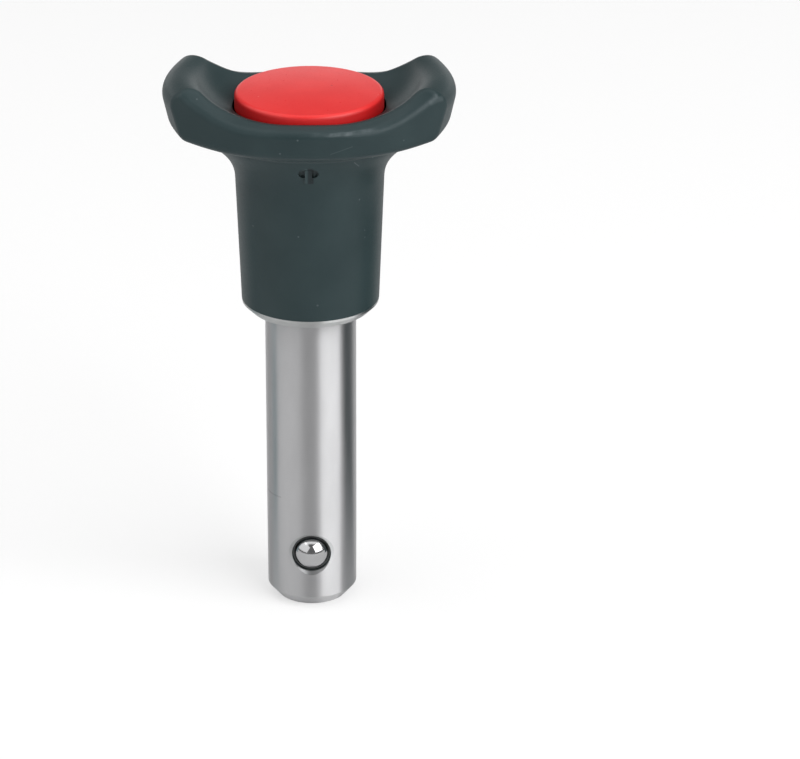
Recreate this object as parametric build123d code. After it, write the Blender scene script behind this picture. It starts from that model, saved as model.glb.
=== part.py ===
from build123d import *
import math
import os

os.makedirs("parts", exist_ok=True)

# All sizes are in mm. The pin stands on its tip: the tip's end face is z = 0 and +Z runs up its axis.
# The grip's wings point along +X and -X, its plain side faces -Y and its lanyard ear +Y.

# Shank and tip
shank_r = 8.0
tip_face_r = 6.2
tip_chamfer_z = 2.1
lead_r = 7.96                # the shank tapers slightly to this radius at the tip's chamfer
lead_top_z = 15.2
press_r = 7.75               # turned down where the collar is pressed on
bore_r = 2.92
bore_mouth_r = 3.8
shank_top_z = 66.0

# Locking balls, at rest pushed out of the shank
ball_r = 3.175
ball_z = 10.6
ball_reach = 6.05            # ball centre from the pin's axis, locked
ball_clearance = 0.055       # between ball and seat
ball_gap = 0.03              # between ball and spindle
lip_reach = 6.95             # the staked lip that keeps the ball in
mouth_r = 3.45               # round recess over the lip
mouth_reach = 7.3
stake_ring_r = 4.05          # cone that the staking tool leaves round that recess

# Collar
seat_z = 56.0
collar_r = 12.0
collar_chamfer = 1.25
collar_land = 0.45
flange_z = seat_z + collar_chamfer + collar_land
spigot_r = 9.5
groove_depth = 0.7
groove_width = 1.5
groove_feet = (59.3, 62.3)
mouth_relief = 0.2           # open ring round the shank, where it comes out of the collar

# Spindle, with the tapered waist that lets the balls in when the button is pressed
spindle_r = ball_reach - ball_r - ball_gap
waist_r = 1.46
taper = 0.34                 # how far a ball moves in for each mm of press
spindle_foot_z = 5.0
waist_top_z = 16.2
spindle_chamfer = 0.5
stub_r = 2.0
stub_foot_z = 86.0
stub_top_z = 91.0

# Button
button_r = 12.85
button_top_z = 96.2
button_disc = 3.3
button_crown_r = 165.0
button_edge_r = 0.8
skirt_r = 9.6
skirt_wall = 2.0
skirt_foot_z = 84.0
boss_r = 4.6

# Return spring
spring_wire_r = 0.6
spring_mean_r = 5.8
spring_turns = 6.5
spring_gap = 0.02

# Grip, neck and flare
neck_foot_r = 12.05
neck_top_r = 12.9
neck_top_z = 80.1
flare_r = 7.3
flare_turn = 50.0            # how far the flare bends out, in degrees, before it runs straight under the wings
front_flare_r = 23.0
neck_seam_r = 1.2
grip_bore_r = 9.8
well_r = 13.25
well_floor_z = 88.4

# Grip, head: section across the wings
saddle_z = 92.4              # lowest line of the dished saddle, in the grip's middle plane
dish_r = 45.0                # radius of the dish from front to rear
saddle_r = 11.5              # radius that swings up to the wings, in the middle plane
saddle_open = 0.065          # how fast that radius grows towards front and rear
wing_top_z = 99.1
wing_reach = 25.15           # wing end from the axis, in the middle of its width
wing_corner_y = 10.5
wing_corner_drop = 2.6       # how much shorter the wing is at its corners
nose_r = 3.4
nose_slim = 0.3              # how much tighter the nose is at its corners
wing_lean = 12.8             # lean of the wing's end face, in degrees
heel_r = 2.2
belly_z = 88.4
belly_half = 5.0
belly_r = 95.0

# Grip, head: plan
side_r = 40.0
side_reach = 16.0

# Grip, shoulders that fall from the saddle to the side walls
lip_z = 93.65
lip_flat = 8.0
lip_rise = 45.0
shoulder_slope = 17.0
shoulder_flat = 13.0
shoulder_turn = 5.0          # degrees of slope gained for each mm towards the wing
crest_r = 1.2                # rounding between the saddle and the shoulders
wall_edge_r = 1.5            # rounding all round the side walls

# Lanyard ear
ear_r = 5.1
ear_y = 15.3
ear_top_z = 92.6
ear_foot_z = 88.2            # underside of the ear at its outer end
ear_root_y = 12.0            # where that underside meets the neck
ear_root_z = 81.5
ear_edge_r = 1.0
ear_seam_r = 1.0
lanyard_r = 1.6
lanyard_y = 17.7

# Moulded eyelet under the front of the head
eyelet_z = 85.6
eyelet_floor_y = 12.6
eyelet_width = 3.4
eyelet_height = 1.5
eyelet_bar = 1.2
eyelet_bar_height = 2.4
eyelet_bar_rise = 1.2
eyelet_drop = 0.45


def turned(outline):
    """Turn a closed outline of (radius, height) about the pin's axis."""
    return revolve(Plane.XZ * make_face(outline), Axis.Z)


def ball_pocket():
    """Space for one ball, along +Z from the pin's axis: cylinder, round seat, staked lip, recess and cone."""
    seat_r = ball_r + ball_clearance
    lip_r = math.sqrt(seat_r**2 - (lip_reach - ball_reach) ** 2)
    ring_top = shank_r + (shank_r - mouth_reach)
    ring_top_r = stake_ring_r + (stake_ring_r - mouth_r)
    half_turn = math.asin((lip_reach - ball_reach) / seat_r) / 2
    seat_middle = (seat_r * math.cos(half_turn), ball_reach + seat_r * math.sin(half_turn))
    outline = [
        Line((0, 0), (seat_r, 0)),
        Line((seat_r, 0), (seat_r, ball_reach)),
        ThreePointArc((seat_r, ball_reach), seat_middle, (lip_r, lip_reach)),
        Polyline((lip_r, lip_reach), (mouth_r, lip_reach), (mouth_r, mouth_reach), (ring_top_r, ring_top),
                 (0, ring_top), (0, 0)),
    ]
    return turned(Curve() + outline)


def shank():
    """Drilled pin with a chamfered tip, a slight lead and a cross hole for the two balls."""
    mouth = bore_mouth_r - bore_r
    body = turned(Polyline(
        (bore_r, mouth), (bore_mouth_r, 0), (tip_face_r, 0), (lead_r, tip_chamfer_z),
        (shank_r, lead_top_z), (shank_r, seat_z), (press_r, seat_z), (press_r, shank_top_z),
        (bore_r, shank_top_z), close=True))
    for side in (-1, 1):
        body -= Plane(origin=(0, 0, ball_z), x_dir=(1, 0, 0), z_dir=(0, side, 0)) * ball_pocket()
    return body


def ball(side):
    """One locking ball, pushed out to its staked lip."""
    return Pos(0, side * ball_reach, ball_z) * Sphere(ball_r)


def collar_form():
    """Outside of the collar: chamfered flange and a spigot with grooves that hold the moulded grip."""
    points = [(0, seat_z), (collar_r - collar_chamfer, seat_z), (collar_r, seat_z + collar_chamfer),
              (collar_r, flange_z), (spigot_r, flange_z)]
    for foot in groove_feet:
        points += [(spigot_r, foot), (spigot_r - groove_depth, foot),
                   (spigot_r - groove_depth, foot + groove_width), (spigot_r, foot + groove_width)]
    points += [(spigot_r, shank_top_z), (0, shank_top_z)]
    return turned(Polyline(*points, close=True))


def collar():
    """Flanged steel collar, its bore relieved where the shank comes out."""
    relief_r = shank_r + mouth_relief
    bore = turned(Polyline((0, seat_z), (relief_r, seat_z), (press_r, seat_z + relief_r - press_r),
                           (press_r, shank_top_z), (0, shank_top_z), close=True))
    return collar_form() - bore


def spindle():
    """Rod with the tapered waist that the balls fall into when the button is pressed."""
    tangent_r = ball_reach - (ball_r + ball_gap) * math.hypot(1, taper)
    taper_foot_z = ball_z - (spindle_r - tangent_r) / taper
    waist_foot_z = taper_foot_z + (spindle_r - waist_r) / taper
    return turned(Polyline(
        (0, spindle_foot_z), (spindle_r - spindle_chamfer, spindle_foot_z),
        (spindle_r, spindle_foot_z + spindle_chamfer), (spindle_r, taper_foot_z), (waist_r, waist_foot_z),
        (waist_r, waist_top_z), (spindle_r, waist_top_z + spindle_r - waist_r), (spindle_r, stub_foot_z),
        (stub_r, stub_foot_z), (stub_r, stub_top_z), (0, stub_top_z), close=True))


def return_spring():
    """Compression spring, both ends ground flat."""
    height = button_top_z - button_disc - spring_gap - shank_top_z
    path = Helix(height / spring_turns, height, spring_mean_r)
    wire = sweep(Plane(origin=path @ 0, z_dir=path % 0) * Circle(spring_wire_r), path)
    return Pos(0, 0, shank_top_z) * (wire & extrude(Circle(spring_mean_r + 2), height))


def push_button():
    """Red button: slightly crowned disc, skirt guided by the grip and boss pressed on the spindle."""
    disc_foot_z = button_top_z - button_disc
    crown = Vector(0, button_top_z - button_crown_r)
    rim_x = button_r - button_edge_r
    rim_turn = math.degrees(math.acos(rim_x / (button_crown_r - button_edge_r)))
    rim = crown + Vector(rim_x, (button_crown_r - button_edge_r) * math.sin(math.radians(rim_turn)))
    outline = [
        CenterArc(crown, button_crown_r, 90, rim_turn - 90),
        CenterArc(rim, button_edge_r, rim_turn, -rim_turn),
        Polyline((button_r, rim.Y), (button_r, disc_foot_z), (skirt_r, disc_foot_z), (skirt_r, skirt_foot_z),
                 (skirt_r - skirt_wall, skirt_foot_z), (skirt_r - skirt_wall, disc_foot_z), (boss_r, disc_foot_z),
                 (boss_r, stub_foot_z), (stub_r, stub_foot_z), (stub_r, stub_top_z), (0, stub_top_z),
                 (0, button_top_z)),
    ]
    return turned(Curve() + outline)


def wing_section(y):
    """Upright section of the head across both wings, at a distance y in front of or behind the axis."""
    rounding = 1 - math.cos(math.pi / 2 * y / wing_corner_y)
    drop = wing_corner_drop * rounding
    tip_r = nose_r - nose_slim * rounding
    lean = math.radians(wing_lean)
    out = Vector(math.cos(lean), -math.sin(lean))
    down = Vector(-math.sin(lean), -math.cos(lean))
    floor_z = saddle_z + y**2 / (2 * dish_r)
    swing_r = saddle_r + saddle_open * y**2
    nose = Vector(wing_reach - drop - tip_r, wing_top_z - tip_r)
    swing_z = floor_z + swing_r
    swing = Vector(nose.X - math.sqrt((swing_r + tip_r) ** 2 - (swing_z - nose.Y) ** 2), swing_z)
    belly = Vector(belly_half, belly_z + belly_r)
    start = nose + out * (tip_r - heel_r) - belly
    travel = math.sqrt(down.dot(start) ** 2 - start.dot(start) + (belly_r - heel_r) ** 2) - down.dot(start)
    heel = belly + start + down * travel
    nose_turn = math.degrees(math.atan2(nose.Y - swing.Y, nose.X - swing.X))
    heel_turn = math.degrees(math.atan2(heel.Y - belly.Y, heel.X - belly.X))
    half = Curve() + [
        Line((0, floor_z), (swing.X, floor_z)),
        CenterArc(swing, swing_r, -90, nose_turn + 90),
        CenterArc(nose, tip_r, nose_turn + 180, -wing_lean - nose_turn - 180),
        Line(nose + out * tip_r, heel + out * heel_r),
        CenterArc(heel, heel_r, -wing_lean, heel_turn + wing_lean),
        CenterArc(belly, belly_r, heel_turn, -90 - heel_turn),
        Line((belly_half, belly_z), (0, belly_z)),
    ]
    plane = Plane(origin=(0, y, 0), x_dir=(1, 0, 0), z_dir=(0, -1, 0))
    return plane * make_face(half + mirror(half, about=Plane.YZ))


def side_y(x):
    """Distance of the head's side wall from the grip's middle plane."""
    return math.sqrt(side_r**2 - x**2) - side_r + side_reach


def on_side(edge):
    """Whether an edge of the head lies on one of its side walls."""
    return all(abs(abs((edge @ u).Y) - side_y((edge @ u).X)) < 0.02 for u in (0, 0.5, 1))


def on_crest(edge):
    """Whether an edge of the head lies where the saddle meets a shoulder."""
    middle = edge @ 0.5
    return abs(middle.Y) > 8 and middle.Z > saddle_z and not on_side(edge)


def shoulder_cut(side):
    """What is taken off above one shoulder: its slope grows steeper towards the wings."""
    sections = []
    for x in range(-24, 25, 3):
        height = lip_z + max(0, abs(x) - lip_flat) ** 2 / lip_rise
        slope = math.radians(shoulder_slope + shoulder_turn * max(0, abs(x) - shoulder_flat))
        low = (side_y(x) + 2 * math.cos(slope), height - 2 * math.sin(slope))
        high = (side_y(x) - 9 * math.cos(slope), height + 9 * math.sin(slope))
        plane = Plane(origin=(x, 0, 0), x_dir=(0, side, 0), z_dir=(side, 0, 0))
        sections.append(plane * make_face(Polyline(low, high, (low[0], high[1]), close=True)))
    return loft(sections)


def head():
    """The grip's winged head."""
    stations = 9
    depth = side_reach + 1
    body = loft([wing_section(-depth + 2 * depth * i / (stations - 1)) for i in range(stations)])
    for side in (-1, 1):
        body &= Pos(0, side * (side_r - side_reach), saddle_z) * Cylinder(side_r, 40)
        body -= shoulder_cut(side)
    body = fillet(body.edges().filter_by(on_crest), crest_r)
    return fillet(body.edges().filter_by(on_side), wall_edge_r)


def neck():
    """Round neck that flares into the underside of the head: wide under the wings, narrow at front and rear."""
    turn = math.radians(flare_turn)
    stations = []
    for z in (neck_top_z, 81.8, 83.5, 85.2, 86.9, 88.6, 90.6):
        rise = z - neck_top_z
        side = neck_top_r + flare_r - math.sqrt(flare_r**2 - min(rise, flare_r * math.sin(turn)) ** 2)
        side += max(0, rise - flare_r * math.sin(turn)) * math.tan(turn)
        front = neck_top_r + front_flare_r - math.sqrt(front_flare_r**2 - rise**2)
        stations.append(Pos(0, 0, z) * Ellipse(side, front))
    shaft = turned(Polyline((0, flange_z), (neck_foot_r, flange_z), (neck_top_r, neck_top_z), (0, neck_top_z),
                            close=True))
    return shaft + loft(stations)


def lanyard_ear():
    """Round ear behind the head; its underside slopes down to the neck."""
    column = Pos(0, ear_y, 0) * extrude(Circle(ear_r), ear_top_z)
    side_view = Polyline((0, ear_root_z), (ear_root_y, ear_root_z), (ear_y + ear_r + 1, ear_foot_z),
                         (ear_y + ear_r + 1, ear_top_z), (0, ear_top_z), close=True)
    ear = column & extrude(Plane.YZ * make_face(side_view), ear_r, both=True)
    return fillet(ear.edges().filter_by(lambda edge: (edge @ 0.5).Y > ear_y), ear_edge_r)


def eyelet():
    """Shallow oval recess under the front of the head, and the upright bar that crosses it."""
    front = Plane(origin=(0, -eyelet_floor_y, eyelet_z), x_dir=(1, 0, 0), z_dir=(0, -1, 0))
    recess = front * extrude(SlotOverall(eyelet_width, eyelet_height), 4)
    bar = front * Pos(0, -eyelet_drop) * extrude(RectangleRounded(eyelet_bar, eyelet_bar_height, 0.3), eyelet_bar_rise)
    return recess, bar


def joined(first, second, seam_r):
    """Two shapes in one, the inner corner along their seam rounded."""
    both = first + second
    return fillet(new_edges(first, second, combined=both), seam_r)


def grip():
    """Moulded grip: winged head, flared neck and lanyard ear, hollow for the button, spring and collar."""
    recess, bar = eyelet()
    body = joined(head(), neck(), neck_seam_r)
    body = joined(body, lanyard_ear(), ear_seam_r) - recess + bar
    body -= Pos(0, 0, well_floor_z) * extrude(Circle(well_r), wing_top_z)
    body -= Pos(0, 0, shank_top_z) * extrude(Circle(grip_bore_r), wing_top_z)
    body -= collar_form()
    body -= Pos(0, lanyard_y, 0) * extrude(Circle(lanyard_r), wing_top_z)
    return body


nodes = {
    "shank": shank(),
    "collar": collar(),
    "spindle": spindle(),
    "return_spring": return_spring(),
    "push_button": push_button(),
    "ball_front": ball(-1),
    "ball_rear": ball(1),
    "grip": grip(),
}
for name, shape in nodes.items():
    export_step(shape, f"parts/{name}.step")
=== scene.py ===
import math
import bpy
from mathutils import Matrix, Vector


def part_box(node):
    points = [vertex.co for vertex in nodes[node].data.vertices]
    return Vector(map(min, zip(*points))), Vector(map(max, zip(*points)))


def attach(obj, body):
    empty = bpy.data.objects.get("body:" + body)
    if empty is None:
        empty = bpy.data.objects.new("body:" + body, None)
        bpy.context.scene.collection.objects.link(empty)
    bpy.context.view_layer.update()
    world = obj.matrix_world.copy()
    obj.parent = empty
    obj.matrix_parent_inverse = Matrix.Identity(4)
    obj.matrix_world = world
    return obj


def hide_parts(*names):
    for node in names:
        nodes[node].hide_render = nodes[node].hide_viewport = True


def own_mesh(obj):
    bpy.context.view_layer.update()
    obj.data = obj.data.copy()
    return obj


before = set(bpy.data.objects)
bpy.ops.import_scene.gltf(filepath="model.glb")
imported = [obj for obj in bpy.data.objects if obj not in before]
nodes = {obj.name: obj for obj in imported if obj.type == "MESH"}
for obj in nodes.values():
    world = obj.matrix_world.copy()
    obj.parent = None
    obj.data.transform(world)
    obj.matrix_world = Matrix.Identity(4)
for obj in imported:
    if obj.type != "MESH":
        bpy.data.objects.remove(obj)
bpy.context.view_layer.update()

# Lengths are in metres, in the frame of the CAD: the shank's tip is z = 0 and the plain side faces -Y.
MM = 0.001

scene = bpy.context.scene


# ---------------------------------------------------------------- small helpers for node trees

def add(tree, kind, settings=None, **inputs):
    """Add a node. Settings are its properties, inputs are values or sockets by input name."""
    node = tree.nodes.new(kind)
    for key, value in (settings or {}).items():
        setattr(node, key, value)
    for key, value in inputs.items():
        plug(tree, node, key.replace("_", " "), value)
    return node


def plug(tree, node, key, value):
    """Give one input a value, or link it to another node's socket."""
    socket = node.inputs[int(key) if key.isdigit() else key]
    if isinstance(value, bpy.types.NodeSocket):
        tree.links.new(value, socket)
    else:
        socket.default_value = value


def maths(tree, operation, a, b=0.0, clamp=False):
    """One Math node; returns its result."""
    node = tree.nodes.new("ShaderNodeMath")
    node.operation = operation
    node.use_clamp = clamp
    plug(tree, node, "0", a)
    plug(tree, node, "1", b)
    return node.outputs[0]


def ramp(tree, value, low, high, out_low=0.0, out_high=1.0):
    """Map a value smoothly from one range to another, clamped."""
    node = add(tree, "ShaderNodeMapRange", {"interpolation_type": "SMOOTHSTEP"},
               Value=value, From_Min=low, From_Max=high, To_Min=out_low, To_Max=out_high)
    return node.outputs[0]


def mix_colour(tree, factor, a, b):
    """Blend two colours."""
    node = tree.nodes.new("ShaderNodeMix")
    node.data_type = "RGBA"
    plug(tree, node, "0", factor)
    plug(tree, node, "6", a)
    plug(tree, node, "7", b)
    return node.outputs[2]


def noise(tree, place, scale, detail=2.0, roughness=0.5):
    """Fractal noise, from 0 to 1."""
    node = add(tree, "ShaderNodeTexNoise", Vector=place, Scale=scale, Detail=detail, Roughness=roughness)
    return node.outputs[0]


def new_material(name):
    """An empty material with a Principled shader; returns material, tree, shader and object coordinates."""
    material = bpy.data.materials.new(name)
    material.use_nodes = True
    tree = material.node_tree
    tree.nodes.clear()
    shader = tree.nodes.new("ShaderNodeBsdfPrincipled")
    output = tree.nodes.new("ShaderNodeOutputMaterial")
    tree.links.new(shader.outputs[0], output.inputs[0])
    place = tree.nodes.new("ShaderNodeTexCoord").outputs["Object"]
    return material, tree, shader, place


def noise_colour(tree, place, scale):
    """Three noises at once, each about 0, as a vector."""
    node = add(tree, "ShaderNodeTexNoise", Vector=place, Scale=scale, Detail=1.0)
    return vector_maths(tree, "SUBTRACT", node.outputs[1], (0.5, 0.5, 0.5))[0]


def stretched(tree, place, scale):
    """Object coordinates scaled along each axis."""
    return add(tree, "ShaderNodeMapping", Vector=place, Scale=scale).outputs[0]


def vector_maths(tree, operation, a, b=None, scale=None):
    """One Vector Math node; returns its outputs, the vector and the value."""
    node = tree.nodes.new("ShaderNodeVectorMath")
    node.operation = operation
    plug(tree, node, "0", a)
    if b is not None:
        plug(tree, node, "1", b)
    if scale is not None:
        plug(tree, node, "Scale", scale)
    return node.outputs


def near_line(tree, place, points, width):
    """1 along a broken line through points given in mm, fading to 0 at its width."""
    marks = 0.0
    for start, end in zip(points, points[1:]):
        start, run = Vector(start) * MM, (Vector(end) - Vector(start)) * MM
        offset = vector_maths(tree, "SUBTRACT", place, start)[0]
        dot = vector_maths(tree, "DOT_PRODUCT", offset, run)[1]
        along = maths(tree, "DIVIDE", dot, run.length_squared, clamp=True)
        foot = vector_maths(tree, "SCALE", run, scale=along)[0]
        gap = vector_maths(tree, "DISTANCE", offset, foot)[1]
        marks = maths(tree, "MAXIMUM", marks, ramp(tree, gap, width * MM * 0.3, width * MM, 1.0, 0.0))
    return marks


def near_point(tree, place, point, radius):
    """1 at a point given in mm, fading to 0 at the radius."""
    gap = vector_maths(tree, "DISTANCE", place, Vector(point) * MM)[1]
    return ramp(tree, gap, radius * MM * 0.4, radius * MM, 1.0, 0.0)


def split(tree, vector):
    """The x, y and z of a vector."""
    return add(tree, "ShaderNodeSeparateXYZ", Vector=vector).outputs


def within(tree, value, low, high, soft=0.08):
    """1 between two distances in mm, with soft ends."""
    rise = ramp(tree, value, (low - soft) * MM, (low + soft) * MM)
    fall = ramp(tree, value, (high - soft) * MM, (high + soft) * MM, 1.0, 0.0)
    return overlap(tree, rise, fall)


def overlap(tree, *masks):
    """Where several masks meet."""
    level = masks[0]
    for mask in masks[1:]:
        level = maths(tree, "MULTIPLY", level, mask)
    return level


def strongest(tree, *masks):
    """The greatest of several masks."""
    level = masks[0]
    for mask in masks[1:]:
        level = maths(tree, "MAXIMUM", level, mask)
    return level


def faded(tree, mask, strength):
    """A mask at part of its strength."""
    return maths(tree, "MULTIPLY", mask, strength)


# ---------------------------------------------------------------- materials

GRIP_DARK = (0.012, 0.029, 0.031, 1)
GRIP_LIGHT = (0.018, 0.037, 0.039, 1)
# A pale tone for dust, scratches and specks, and also for painted light and painted highlights on the grip
DUST_AND_PAINTED_LIGHT = (0.2, 0.23, 0.24, 1)
# Painted light and painted shade for the eyelet
EYELET_PAINTED_LIGHT = (0.2, 0.25, 0.26, 1)
DEEP_SHADE = (0.003, 0.006, 0.007, 1)

# Painted highlights and wear on the front of the grip, as points in mm
# The lip line and the wing-end line carry painted highlights; the scratches and specks are wear
LIP_PAINTED_HIGHLIGHT = ((0.4, -15.65, 93.5), (3.6, -15.55, 93.42), (6.8, -15.1, 93.45), (9.9, -14.25, 93.72),
              (13.0, -13.4, 94.07))
WING_PAINTED_HIGHLIGHT = ((20.8, -10.05, 97.2), (21.7, -9.6, 97.5), (22.5, -8.9, 97.5))
LONG_SCRATCH = ((3.8, -15.8, 90.05), (7.45, -15.3, 91.25))
SHORT_SCRATCH = ((7.75, -12.6, 87.35), (8.5, -11.7, 86.4))
SPECKS = ((-1.75, -15.95, 92.6), (10.85, -11.35, 87.8), (8.6, -9.55, 79.4))


def painted_light_below(tree, place, base):
    """Painted light on the faces under the wings; it stands in for light that the table throws up."""
    normal = tree.nodes.new("ShaderNodeNewGeometry").outputs["Normal"]
    # Painted light: faces that look down, high on the grip, are paled
    down = ramp(tree, split(tree, normal)[2], -0.75, -0.3, 1.0, 0.0)
    high = ramp(tree, split(tree, place)[2], 84 * MM, 87 * MM)
    return mix_colour(tree, faded(tree, overlap(tree, down, high), 0.12), base, DUST_AND_PAINTED_LIGHT)


def eyelet_painted_light_and_shade(tree, place, base):
    """Painted light and shade in the moulded eyelet: painted light on its floor, a painted highlight along
    the bar's left and painted shade on its right.
    """
    x, y, z = split(tree, place)
    bar = overlap(tree, within(tree, y, -14.0, -12.4, 0.05), within(tree, z, 83.7, 86.7))
    floor = overlap(tree, within(tree, y, -12.8, -11.0, 0.05), within(tree, z, 83.5, 87.2),
                    within(tree, x, -1.9, 1.9))
    lit = overlap(tree, bar, within(tree, x, -0.7, -0.2, 0.2))
    shade = overlap(tree, bar, within(tree, x, -0.1, 0.85, 0.15))
    # Painted light on the floor and along the bar's left edge, painted shade on the bar's right
    base = mix_colour(tree, faded(tree, floor, 0.3), base, EYELET_PAINTED_LIGHT)
    base = mix_colour(tree, faded(tree, lit, 0.07), base, EYELET_PAINTED_LIGHT)
    return mix_colour(tree, faded(tree, shade, 0.75), base, DEEP_SHADE)


def marks_and_painted_highlights(tree, place):
    """How pale each spot of the grip is: dots all over, painted highlights along the lip and at a wing end,
    scratches and specks.
    """
    dots = add(tree, "ShaderNodeTexVoronoi", Vector=place, Scale=260.0).outputs["Distance"]
    dots = ramp(tree, dots, 0.03, 0.06, 1.0, 0.0)
    jitter = vector_maths(tree, "SCALE", noise_colour(tree, place, 300.0), scale=0.4 * MM)[0]
    shaken = vector_maths(tree, "ADD", place, jitter)[0]
    broken_up = ramp(tree, noise(tree, place, 420.0, 2.0), 0.35, 0.62, 0.2, 1.0)
    # Painted highlights: a streak along the front lip and a spot at the right wing's front corner
    lip = overlap(tree, near_line(tree, shaken, LIP_PAINTED_HIGHLIGHT, 0.52), broken_up,
                  within(tree, split(tree, place)[0], 2.0, 10.5, 2.2))
    wing = near_line(tree, place, WING_PAINTED_HIGHLIGHT, 0.7)
    scratch = strongest(tree, faded(tree, near_line(tree, place, LONG_SCRATCH, 0.12), 0.4),
                        near_line(tree, place, SHORT_SCRATCH, 0.14),
                        *[near_point(tree, place, spot, 0.22) for spot in SPECKS])
    return strongest(tree, faded(tree, dots, 0.25), faded(tree, lip, 0.36), faded(tree, wing, 0.13),
                     faded(tree, scratch, 0.3))


def grain_bump(tree, shader, grain, strength, depth):
    """Fine grain, raised by a depth in metres."""
    bump = add(tree, "ShaderNodeBump", Strength=strength, Distance=depth, Height=grain)
    plug(tree, shader, "Normal", bump.outputs[0])


def grip_plastic():
    """Dark slate-grey moulded plastic with a fine grain, a few handling marks, painted light under the
    wings, painted light and shade in the eyelet, and painted highlights on the lip and a wing end.
    """
    material, tree, shader, place = new_material("grip_plastic")
    cloud = noise(tree, place, 90.0, 3.0)
    grain = noise(tree, place, 3200.0, 2.0, 0.6)
    base = mix_colour(tree, ramp(tree, cloud, 0.3, 0.7), GRIP_DARK, GRIP_LIGHT)
    # Painted light under the wings, painted light and shade in the eyelet, painted highlights with the wear
    # marks
    base = painted_light_below(tree, place, base)
    base = eyelet_painted_light_and_shade(tree, place, base)
    plug(tree, shader, "Base Color", mix_colour(tree, marks_and_painted_highlights(tree, place), base, DUST_AND_PAINTED_LIGHT))
    plug(tree, shader, "Roughness", ramp(tree, grain, 0.2, 0.8, 0.38, 0.47))
    plug(tree, shader, "IOR", 1.5)
    plug(tree, shader, "Specular Tint", (0.89, 0.95, 1.0, 1))
    grain_bump(tree, shader, grain, 0.12, 0.06 * MM)
    return material


BUTTON_TOP_DARK = (0.77, 0.020, 0.020, 1)
BUTTON_TOP_LIGHT = (0.82, 0.028, 0.027, 1)
# Painted shade for the button's upright side
BUTTON_SIDE_PAINTED_SHADE = (0.62, 0.007, 0.008, 1)

# Marks on the button's top, as points in mm
DARK_SPECK = (3.85, 1.25, 96.1)
PALE_SPECKS = ((-8.6, -3.7, 95.9), (11.8, -2.25, 95.6))


def button_plastic():
    """Red moulded plastic: satin on top, duller on the upright side, where painted shade deepens the red."""
    material, tree, shader, place = new_material("button_plastic")
    cloud = noise(tree, place, 140.0, 3.0)
    grain = noise(tree, place, 2600.0, 2.0, 0.6)
    side = ramp(tree, split(tree, place)[2], 95.2 * MM, 95.5 * MM, 1.0, 0.0)
    base = mix_colour(tree, ramp(tree, cloud, 0.3, 0.7), BUTTON_TOP_DARK, BUTTON_TOP_LIGHT)
    # Painted shade: the red of the upright side is deepened
    base = mix_colour(tree, side, base, BUTTON_SIDE_PAINTED_SHADE)
    dark = faded(tree, near_point(tree, place, DARK_SPECK, 0.25), 0.6)
    base = mix_colour(tree, dark, base, (0.25, 0.01, 0.01, 1))
    pale = strongest(tree, near_point(tree, place, PALE_SPECKS[0], 0.2),
                     near_point(tree, place, PALE_SPECKS[1], 0.25))
    plug(tree, shader, "Base Color", mix_colour(tree, faded(tree, pale, 0.35), base, (0.9, 0.45, 0.42, 1)))
    satin = ramp(tree, grain, 0.2, 0.8, 0.27, 0.35)
    plug(tree, shader, "Roughness", maths(tree, "ADD", satin, faded(tree, side, 0.2)))
    plug(tree, shader, "IOR", 1.5)
    grain_bump(tree, shader, grain, 0.06, 0.05 * MM)
    return material


BALL_Z = 10.6                # height of the balls' centres, mm
BALL_EDGE_R = (3.2, 3.36)    # where the painted shade of the crevice begins round the ball, mm
CREVICE_R = (3.42, 3.54)     # where it ends
STAKED_R = (3.95, 4.1)       # where the staked ring ends
SHANK_SCRATCH = ((-7.85, -1.6, 20.75), (-7.25, -3.4, 20.8), (-6.2, -5.1, 20.95), (-5.45, -5.85, 21.05))


def inside(tree, distance, edge):
    """1 inside a soft edge given in mm, 0 outside it."""
    return ramp(tree, distance, edge[0] * MM, edge[1] * MM, 1.0, 0.0)


def round_the_balls(tree, place, base, finish):
    """Painted shade in the crevice round each ball, a duller staked ring outside it with painted light below
    and painted shade above, and one hair scratch.
    """
    from_ball = vector_maths(tree, "SUBTRACT", place, (0, 0, BALL_Z * MM))[0]
    from_ball = vector_maths(tree, "MULTIPLY", from_ball, (1, 0, 1))[0]
    away = vector_maths(tree, "LENGTH", from_ball)[1]
    staked = inside(tree, away, STAKED_R)
    # The staked ring's colour: painted light towards the bottom, painted shade towards the top
    higher = ramp(tree, split(tree, place)[2], 8.5 * MM, 12.5 * MM)
    ring = mix_colour(tree, higher, (0.80, 0.81, 0.82, 1), (0.50, 0.52, 0.52, 1))
    # Painted shade in the crevice, darkest beside the wall
    deeper = ramp(tree, away, BALL_EDGE_R[0] * MM, BALL_EDGE_R[1] * MM)
    black = mix_colour(tree, deeper, (0.26, 0.27, 0.27, 1), (0.055, 0.075, 0.075, 1))
    scratch = near_line(tree, place, SHANK_SCRATCH, 0.22)
    base = mix_colour(tree, faded(tree, scratch, 0.2), base, (0.2, 0.2, 0.2, 1))
    base = mix_colour(tree, faded(tree, staked, 0.5), base, ring)
    base = mix_colour(tree, inside(tree, away, CREVICE_R), base, black)
    return base, maths(tree, "ADD", finish, faded(tree, staked, 0.15))


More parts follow.
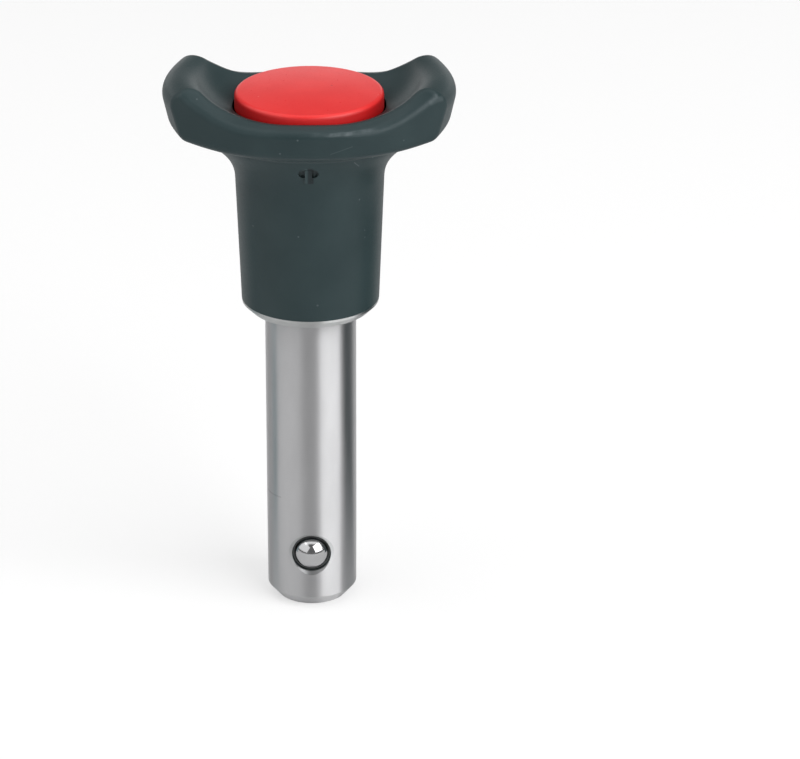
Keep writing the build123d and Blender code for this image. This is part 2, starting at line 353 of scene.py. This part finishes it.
def turned_steel(name, colour, roughness, lustre, marks, holds_balls=False):
    """Steel that was ground or turned round Z: hair-fine rings, and a slightly cloudy finish."""
    material, tree, shader, place = new_material(name)
    rings = noise(tree, stretched(tree, place, (8.0, 8.0, 14000.0)), 1.0, 2.0, 0.7)
    cloud = noise(tree, stretched(tree, place, (260.0, 260.0, 70.0)), 1.0, 3.0)
    tone = maths(tree, "ADD", maths(tree, "MULTIPLY", rings, 0.4), maths(tree, "MULTIPLY", cloud, 0.6))
    dark = tuple(c * 0.95 for c in colour) + (1,)
    light = tuple(c * 1.04 for c in colour) + (1,)
    base = mix_colour(tree, ramp(tree, tone, 0.35, 0.65), dark, light)
    finish = ramp(tree, tone, 0.3, 0.7, roughness - 0.015, roughness + 0.015)
    if holds_balls:
        base, finish = round_the_balls(tree, place, base, finish)
    plug(tree, shader, "Base Color", base)
    plug(tree, shader, "Metallic", 1.0)
    plug(tree, shader, "Roughness", finish)
    plug(tree, shader, "Anisotropic", lustre)
    plug(tree, shader, "Anisotropic Rotation", 0.25)
    tangent = add(tree, "ShaderNodeTangent", {"direction_type": "RADIAL", "axis": "Z"})
    tree.links.new(tangent.outputs[0], shader.inputs["Tangent"])
    grain_bump(tree, shader, rings, marks, 0.01 * MM)
    return material


def ball_steel():
    """Polished bearing steel."""
    material, tree, shader, place = new_material("ball_steel")
    cloud = noise(tree, place, 700.0, 2.0)
    plug(tree, shader, "Base Color", mix_colour(tree, cloud, (0.60, 0.60, 0.61, 1), (0.66, 0.66, 0.67, 1)))
    plug(tree, shader, "Metallic", 1.0)
    plug(tree, shader, "Roughness", ramp(tree, cloud, 0.3, 0.7, 0.11, 0.15))
    return material


# ---------------------------------------------------------------- return spring

SPRING = {"wire_r": 0.6 * MM, "mean_r": 5.8 * MM, "turns": 8.0, "end_turns": 1.0}


def coil_tree(material):
    """Geometry Nodes: a wire wound from foot to top, its end turns closed and ground flat."""
    tree = bpy.data.node_groups.new("wound_spring", "GeometryNodeTree")
    tree.interface.new_socket("Geometry", in_out="OUTPUT", socket_type="NodeSocketGeometry")
    for name in ("Foot", "Top", "Coil Radius", "Wire Radius", "Turns", "End Turns"):
        tree.interface.new_socket(name, in_out="INPUT", socket_type="NodeSocketFloat")
    given = tree.nodes.new("NodeGroupInput").outputs
    result = tree.nodes.new("NodeGroupOutput")

    line = add(tree, "GeometryNodeCurvePrimitiveLine")
    sampled = add(tree, "GeometryNodeResampleCurve", Curve=line.outputs[0], Count=640)
    along = tree.nodes.new("GeometryNodeSplineParameter").outputs["Factor"]
    angle = maths(tree, "MULTIPLY", maths(tree, "MULTIPLY", along, given["Turns"]), math.tau)
    x = maths(tree, "MULTIPLY", maths(tree, "COSINE", angle), given["Coil Radius"])
    y = maths(tree, "MULTIPLY", maths(tree, "SINE", angle), given["Coil Radius"])

    # The closed turns at each end climb by one wire, and the turns between them share the rest
    foot_share = maths(tree, "DIVIDE", given["End Turns"], given["Turns"])
    top_share = maths(tree, "SUBTRACT", 1.0, foot_share)
    foot_mid = maths(tree, "ADD", given["Foot"], maths(tree, "MULTIPLY", given["Wire Radius"], 0.5))
    top_mid = maths(tree, "SUBTRACT", given["Top"], maths(tree, "MULTIPLY", given["Wire Radius"], 0.5))
    wire = maths(tree, "MULTIPLY", given["Wire Radius"], 2.0)
    rise = add(tree, "ShaderNodeMapRange", Value=along, From_Min=foot_share, From_Max=top_share,
               To_Min=maths(tree, "ADD", foot_mid, wire), To_Max=maths(tree, "SUBTRACT", top_mid, wire))
    before = maths(tree, "MINIMUM", maths(tree, "SUBTRACT", along, foot_share), 0.0)
    after = maths(tree, "MAXIMUM", maths(tree, "SUBTRACT", along, top_share), 0.0)
    low = maths(tree, "MULTIPLY", maths(tree, "DIVIDE", before, foot_share), wire)
    high = maths(tree, "MULTIPLY", maths(tree, "DIVIDE", after, foot_share), wire)
    z = maths(tree, "ADD", maths(tree, "ADD", rise.outputs[0], low), high)
    place = add(tree, "ShaderNodeCombineXYZ", X=x, Y=y, Z=z)
    path = add(tree, "GeometryNodeSetPosition", Geometry=sampled.outputs[0], Position=place.outputs[0])

    section = add(tree, "GeometryNodeCurvePrimitiveCircle", Resolution=16)
    plug(tree, section, "Radius", given["Wire Radius"])
    body = add(tree, "GeometryNodeCurveToMesh", Curve=path.outputs[0], Profile_Curve=section.outputs[0],
               Fill_Caps=True)
    x, y, z = split(tree, tree.nodes.new("GeometryNodeInputPosition").outputs[0])
    ground = maths(tree, "MINIMUM", maths(tree, "MAXIMUM", z, given["Foot"]), given["Top"])
    flat = add(tree, "ShaderNodeCombineXYZ", X=x, Y=y, Z=ground)
    cut = add(tree, "GeometryNodeSetPosition", Geometry=body.outputs[0], Position=flat.outputs[0])
    smooth = add(tree, "GeometryNodeSetShadeSmooth", Geometry=cut.outputs[0])
    real = add(tree, "GeometryNodeRealizeInstances", Geometry=smooth.outputs[0])
    finished = add(tree, "GeometryNodeSetMaterial", Geometry=real.outputs[0], Material=material)
    tree.links.new(finished.outputs[0], result.inputs[0])
    return tree


def grown(name, tree, values):
    """Run a Geometry Nodes tree on an empty mesh and return its result as a plain mesh object."""
    seed = bpy.data.objects.new(name + "_seed", bpy.data.meshes.new(name + "_seed"))
    scene.collection.objects.link(seed)
    modifier = seed.modifiers.new("grow", "NODES")
    modifier.node_group = tree
    for item in tree.interface.items_tree:
        if item.in_out == "INPUT" and item.name in values:
            modifier[item.identifier] = values[item.name]
    evaluated = seed.evaluated_get(bpy.context.evaluated_depsgraph_get())
    mesh = bpy.data.meshes.new_from_object(evaluated)
    bpy.data.objects.remove(seed)
    piece = bpy.data.objects.new(name, mesh)
    scene.collection.objects.link(piece)
    return piece


def build_return_spring(material):
    """The wound return spring between the collar and the button."""
    low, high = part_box("return_spring")
    values = {"Foot": low.z, "Top": high.z, "Coil Radius": SPRING["mean_r"], "Wire Radius": SPRING["wire_r"],
              "Turns": SPRING["turns"], "End Turns": SPRING["end_turns"]}
    spring = grown("wound_return_spring", coil_tree(material), values)
    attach(spring, "root")
    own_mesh(spring)
    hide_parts("return_spring")


# ---------------------------------------------------------------- studio

WHITE = (1, 1, 1, 1)
STAGE_GREY = (0.5, 0.5, 0.5, 1)
CARD_BLACK = (0.01, 0.01, 0.01, 1)
CARD_TINT = (0.78, 1.0, 1.05, 1)
MIDDLE = (0, 0, 0.05)        # what the softboxes face, in metres
FAR = (0.5, 1.8)             # where the table whitens away from the pin, in metres


def studio_material(name, colour, camera_glow, mirror_glow, bounce=0.0, far_glow=None, tint=WHITE):
    """A stage surface that takes shadows, with a glow of its own for the camera and one for mirrored rays.

    With a far glow, it whitens away from the pin, where the lamps no longer reach it."""
    material = bpy.data.materials.new(name)
    material.use_nodes = True
    tree = material.node_tree
    tree.nodes.clear()
    output = tree.nodes.new("ShaderNodeOutputMaterial")
    matt = add(tree, "ShaderNodeBsdfDiffuse", Color=colour)
    if far_glow is not None:
        place = tree.nodes.new("ShaderNodeTexCoord").outputs["Object"]
        camera_glow = ramp(tree, vector_maths(tree, "LENGTH", place)[1], *FAR, camera_glow, far_glow)
    strength = seen_level(tree, bounce, camera_glow, mirror_glow)
    shine = add(tree, "ShaderNodeEmission", Color=tint, Strength=strength)
    both = tree.nodes.new("ShaderNodeAddShader")
    tree.links.new(matt.outputs[0], both.inputs[0])
    tree.links.new(shine.outputs[0], both.inputs[1])
    tree.links.new(both.outputs[0], output.inputs[0])
    return material


def seen_level(tree, lighting, camera, mirrored):
    """A strength that differs for rays that light things, rays from the camera and mirrored rays."""
    rays = tree.nodes.new("ShaderNodeLightPath").outputs
    glossy = maths(tree, "ADD", rays["Is Glossy Ray"], rays["Is Transmission Ray"], clamp=True)
    level = maths(tree, "ADD", maths(tree, "MULTIPLY", glossy, mirrored - lighting), lighting)
    own = maths(tree, "MULTIPLY", rays["Is Camera Ray"], maths(tree, "SUBTRACT", camera, lighting))
    return maths(tree, "ADD", own, level)


def plane(name, size, place, aim=None):
    """A flat rectangle, facing up or towards a point."""
    half = Vector(size) / 2
    mesh = bpy.data.meshes.new(name)
    corners = [(-half.x, -half.y, 0), (half.x, -half.y, 0), (half.x, half.y, 0), (-half.x, half.y, 0)]
    mesh.from_pydata(corners, [], [(0, 1, 2, 3)])
    obj = bpy.data.objects.new(name, mesh)
    obj.location = place
    if aim is not None:
        obj.rotation_euler = (Vector(aim) - Vector(place)).to_track_quat("Z", "Y").to_euler()
    scene.collection.objects.link(obj)
    return obj


def direction(azimuth, elevation):
    """Unit vector from the pin: azimuth 0 is towards the viewer (-Y), 90 is to the right (+X)."""
    a, e = math.radians(azimuth), math.radians(elevation)
    return Vector((math.sin(a) * math.cos(e), -math.cos(a) * math.cos(e), math.sin(e)))


def softbox(name, azimuth, elevation, distance, width, height, radiance):
    """A rectangular softbox that faces the pin and glows evenly."""
    lamp = bpy.data.lights.new(name, "AREA")
    lamp.shape = "RECTANGLE"
    lamp.size = width
    lamp.size_y = height
    lamp.energy = radiance * math.pi * width * height
    obj = bpy.data.objects.new(name, lamp)
    obj.location = direction(azimuth, elevation) * distance + Vector(MIDDLE)
    obj.rotation_euler = (Vector(MIDDLE) - obj.location).to_track_quat("-Z", "Y").to_euler()
    scene.collection.objects.link(obj)


def card(name, azimuth, distance, width, height, glow):
    """A card that stands on the table beside the pin; only shiny surfaces show it."""
    foot = direction(azimuth, 0) * distance
    stand = plane(name, (width, height), (foot.x, foot.y, height / 2), (0, 0, height / 2))
    stand.data.materials.append(studio_material(name, CARD_BLACK, 0.0, glow, tint=CARD_TINT))
    stand.visible_camera = False
    stand.visible_diffuse = False
    stand.visible_shadow = False


def build_studio():
    """White table and backdrop, three softboxes, two cards and the room."""
    floor = plane("table", (6, 6), (0, 0, 0))
    floor.data.materials.append(studio_material(
        "white_table", STAGE_GREY, camera_glow=0.5, mirror_glow=0.12, bounce=0.25, far_glow=1.0))
    backdrop = plane("backdrop", (3.0, 0.5), (0, 1.4, 0.25), (0, 0, 0.25))
    backdrop.data.materials.append(studio_material(
        "white_backdrop", STAGE_GREY, camera_glow=0.6, mirror_glow=0.7))
    softbox("right_softbox", azimuth=52, elevation=32, distance=1.0, width=1.0, height=0.85, radiance=3.2)
    softbox("left_softbox", azimuth=-70, elevation=32, distance=1.0, width=1.9, height=0.95, radiance=0.8)
    softbox("top_softbox", azimuth=180, elevation=84, distance=1.1, width=2.0, height=1.3, radiance=0.85)
    card("right_black_card", azimuth=100.5, distance=0.045, width=0.028, height=0.062, glow=0.08)
    card("left_grey_card", azimuth=-96, distance=0.045, width=0.014, height=0.062, glow=0.3)
    world = bpy.data.worlds.new("room")
    scene.world = world
    world.use_nodes = True
    tree = world.node_tree
    background = tree.nodes["Background"]
    background.inputs["Color"].default_value = WHITE
    level = seen_level(tree, lighting=0.25, camera=1.0, mirrored=0.15)
    tree.links.new(level, background.inputs["Strength"])


def build_camera():
    """Long lens, looking down on the pin."""
    pitch = math.radians(24.4)
    distance = 0.690
    target = Vector((0.0100, 0, 0.04135))
    camera = bpy.data.cameras.new("camera")
    camera.sensor_width = 36
    camera.lens = 175.5
    camera.shift_x = 0.0405
    camera.clip_end = 20
    obj = bpy.data.objects.new("camera", camera)
    obj.location = target + Vector((0, -math.cos(pitch), math.sin(pitch))) * distance
    obj.rotation_euler = (math.pi / 2 - pitch, 0, 0)
    scene.collection.objects.link(obj)
    scene.camera = obj


# ---------------------------------------------------------------- everything together

def dress(node, material):
    """Give a CAD node its finish."""
    mesh = nodes[node].data
    mesh.materials.clear()
    mesh.materials.append(material)


scene.view_settings.view_transform = "Standard"
build_camera()
build_studio()

dress("grip", grip_plastic())
dress("push_button", button_plastic())
dress("shank", turned_steel("shank_steel", (0.68, 0.68, 0.69), roughness=0.42, lustre=1.0, marks=0.03,
                            holds_balls=True))
dress("collar", turned_steel("collar_steel", (0.62, 0.63, 0.63), roughness=0.36, lustre=0.95, marks=0.05))
dress("spindle", turned_steel("spindle_steel", (0.48, 0.48, 0.49), roughness=0.28, lustre=0.7, marks=0.12))
polished = ball_steel()
dress("ball_front", polished)
dress("ball_rear", polished)
build_return_spring(turned_steel("spring_steel", (0.42, 0.42, 0.43), roughness=0.3, lustre=0.0, marks=0.05))
